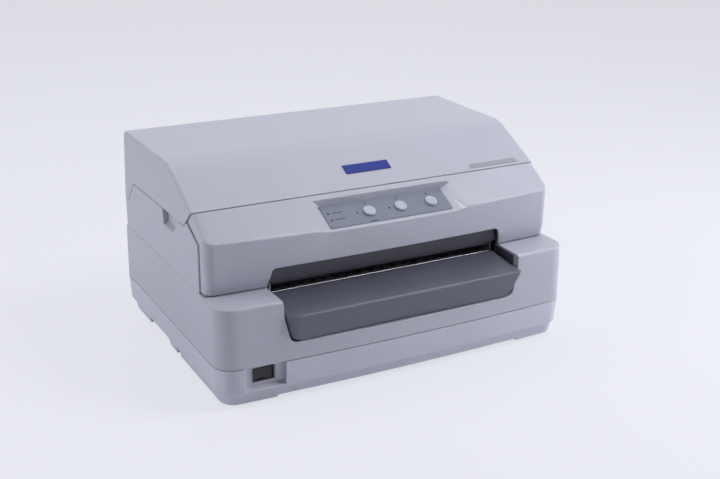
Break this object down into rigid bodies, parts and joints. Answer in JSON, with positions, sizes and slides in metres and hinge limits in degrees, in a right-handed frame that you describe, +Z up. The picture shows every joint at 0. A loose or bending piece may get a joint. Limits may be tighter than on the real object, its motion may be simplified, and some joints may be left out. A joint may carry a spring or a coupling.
{
  "type": "flatbed dot matrix printer",
  "caption": "Desktop flatbed impact printer: hinged top cover over a tilting print mechanism, slotted front bezel with control panel, fixed front paper table, moulded base on rubber feet.",
  "frame": {"origin": "middle of the overall footprint, on the surface the rubber feet stand on", "axes": "+X to the right seen from the front, +Y to the back, +Z up"},
  "size_m": [0.384, 0.28, 0.203],
  "materials": {
    "case_plastic": "fine textured moulded plastic",
    "housing_plastic": "fine textured moulded plastic",
    "dark_plastic": "satin moulded plastic",
    "black_plastic": "satin moulded plastic",
    "button_plastic": "smooth moulded plastic",
    "overlay_film": "printed film",
    "lamp_plastic": "clear green lamp, unlit",
    "gear_plastic": "acetal",
    "knob_plastic": "moulded plastic",
    "lever_plastic": "moulded plastic",
    "board": "lacquered circuit board",
    "rubber_black": "moulded rubber",
    "sheet_steel": "zinc plated",
    "shaft_steel": "ground",
    "motor_steel": "black",
    "head_alloy": "cast, finned",
    "brass": "machined",
    "ribbon_cloth": "inked cloth"
  },
  "bodies": {
    "chassis": {"lower_case": "case_plastic", "main_housing": "housing_plastic", "rubber_feet": "rubber_black", "front_table": "dark_plastic", "lower_guide_plate": "sheet_steel", "platen_bar": "sheet_steel", "side_frame_left": "sheet_steel", "side_frame_right": "sheet_steel", "base_plate": "sheet_steel", "main_board": "board", "power_supply": "sheet_steel", "ac_inlet": "black_plastic", "parallel_port": "sheet_steel", "serial_port": "sheet_steel", "usb_port": "sheet_steel", "power_switch_body": "black_plastic", "feed_motor": "motor_steel", "frame_screws": "shaft_steel", "hinge_pins": "shaft_steel"},
    "rocker": {"power_rocker": "black_plastic"},
    "front_feed": {"front_feed_roller": "rubber_black", "front_roller_gear": "gear_plastic"},
    "rear_feed": {"rear_feed_roller": "rubber_black", "rear_roller_gear": "gear_plastic"},
    "idler": {"idler_gear": "gear_plastic"},
    "pinion": {"motor_pinion": "brass"},
    "mechanism": {"front_bezel": "housing_plastic", "control_overlay": "overlay_film", "panel_board": "board", "status_lamps": "lamp_plastic", "upper_plate_left": "sheet_steel", "upper_plate_right": "sheet_steel", "front_deck": "sheet_steel", "rear_deck": "sheet_steel", "upper_paper_guide": "dark_plastic", "guide_shaft": "shaft_steel", "front_rail": "sheet_steel", "carriage_motor": "motor_steel", "timing_belt": "rubber_black", "ribbon_cartridge": "black_plastic", "ink_ribbon": "ribbon_cloth"},
    "belt_drive": {"drive_pulley": "shaft_steel"},
    "belt_idler": {"idler_pulley": "shaft_steel"},
    "front_pinch": {"front_pinch_roller": "rubber_black"},
    "rear_pinch": {"rear_pinch_roller": "rubber_black"},
    "knob": {"ribbon_knob": "knob_plastic"},
    "release": {"release_shaft": "shaft_steel", "release_lever_left": "lever_plastic", "release_lever_right": "lever_plastic"},
    "key_left": {"button_left": "button_plastic"},
    "key_middle": {"button_middle": "button_plastic"},
    "key_right": {"button_right": "button_plastic"},
    "head_carriage": {"carriage": "black_plastic", "print_head": "head_alloy"},
    "cover": {"top_cover": "housing_plastic"}
  },
  "joints": [
    {"name": "mechanism_tilt", "type": "hinge", "parent": "chassis", "child": "mechanism", "pos_m": [0, 0.1365, 0.1334], "axis": [-1, 0, 0], "range_deg": [0, 18]},
    {"name": "cover_open", "type": "hinge", "parent": "mechanism", "child": "cover", "pos_m": [0, 0.1365, 0.1334], "axis": [-1, 0, 0], "range_deg": [0, 68]},
    {"name": "release_pull", "type": "hinge", "parent": "mechanism", "child": "release", "pos_m": [0, -0.068, 0.108], "axis": [-1, 0, 0], "range_deg": [0, 22], "stiffness_Nm_per_rad": 0.3, "springref_deg": -20.05},
    {"name": "carriage_slide", "type": "slide", "parent": "mechanism", "child": "head_carriage", "axis": [1, 0, 0], "range_m": [-0.108, 0.108]},
    {"name": "drive_pulley_turn", "type": "hinge", "parent": "mechanism", "child": "belt_drive", "pos_m": [-0.14, 0.06, 0.117], "axis": [0, 0, 1], "range_deg": [-780, 780]},
    {"name": "idler_pulley_turn", "type": "hinge", "parent": "mechanism", "child": "belt_idler", "pos_m": [0.14, 0.06, 0.117], "axis": [0, 0, 1], "range_deg": [-780, 780]},
    {"name": "front_feed_turn", "type": "hinge", "parent": "chassis", "child": "front_feed", "pos_m": [0, -0.045, 0.0833], "axis": [1, 0, 0], "continuous": true},
    {"name": "rear_feed_turn", "type": "hinge", "parent": "chassis", "child": "rear_feed", "pos_m": [0, 0.035, 0.0833], "axis": [1, 0, 0], "continuous": true},
    {"name": "idler_gear_turn", "type": "hinge", "parent": "chassis", "child": "idler", "pos_m": [0.176, -0.005, 0.0833], "axis": [1, 0, 0], "continuous": true},
    {"name": "motor_pinion_turn", "type": "hinge", "parent": "chassis", "child": "pinion", "pos_m": [0.174, -0.005, 0.0553], "axis": [1, 0, 0], "continuous": true},
    {"name": "front_pinch_turn", "type": "hinge", "parent": "mechanism", "child": "front_pinch", "pos_m": [0, -0.045, 0.0966], "axis": [1, 0, 0], "continuous": true},
    {"name": "rear_pinch_turn", "type": "hinge", "parent": "mechanism", "child": "rear_pinch", "pos_m": [0, 0.035, 0.0966], "axis": [1, 0, 0], "continuous": true},
    {"name": "ribbon_knob_turn", "type": "hinge", "parent": "mechanism", "child": "knob", "pos_m": [-0.12, -0.0385, 0.155], "axis": [0, 0, 1], "continuous": true},
    {"name": "power_rock", "type": "hinge", "parent": "chassis", "child": "rocker", "pos_m": [-0.148, -0.1208, 0.03], "axis": [0, 0, 1], "range_deg": [0, 12]},
    {"name": "key_left_press", "type": "slide", "parent": "mechanism", "child": "key_left", "axis": [0, 0.4415, -0.8973], "range_m": [0, 0.0011], "stiffness_N_per_m": 300, "springref_m": -0.002},
    {"name": "key_middle_press", "type": "slide", "parent": "mechanism", "child": "key_middle", "axis": [0, 0.4415, -0.8973], "range_m": [0, 0.0011], "stiffness_N_per_m": 300, "springref_m": -0.002},
    {"name": "key_right_press", "type": "slide", "parent": "mechanism", "child": "key_right", "axis": [0, 0.4415, -0.8973], "range_m": [0, 0.0011], "stiffness_N_per_m": 300, "springref_m": -0.002}
  ],
  "couplings": [
    {"joint": "drive_pulley_turn", "follows": "carriage_slide", "rad_per_m": 125},
    {"joint": "idler_pulley_turn", "follows": "carriage_slide", "rad_per_m": 125},
    {"joint": "rear_feed_turn", "follows": "front_feed_turn", "ratio": 1},
    {"joint": "idler_gear_turn", "follows": "front_feed_turn", "ratio": -1.2222},
    {"joint": "motor_pinion_turn", "follows": "front_feed_turn", "ratio": 2.2},
    {"joint": "front_pinch_turn", "follows": "front_feed_turn", "ratio": -1.6},
    {"joint": "rear_pinch_turn", "follows": "front_feed_turn", "ratio": -1.6}
  ]
}
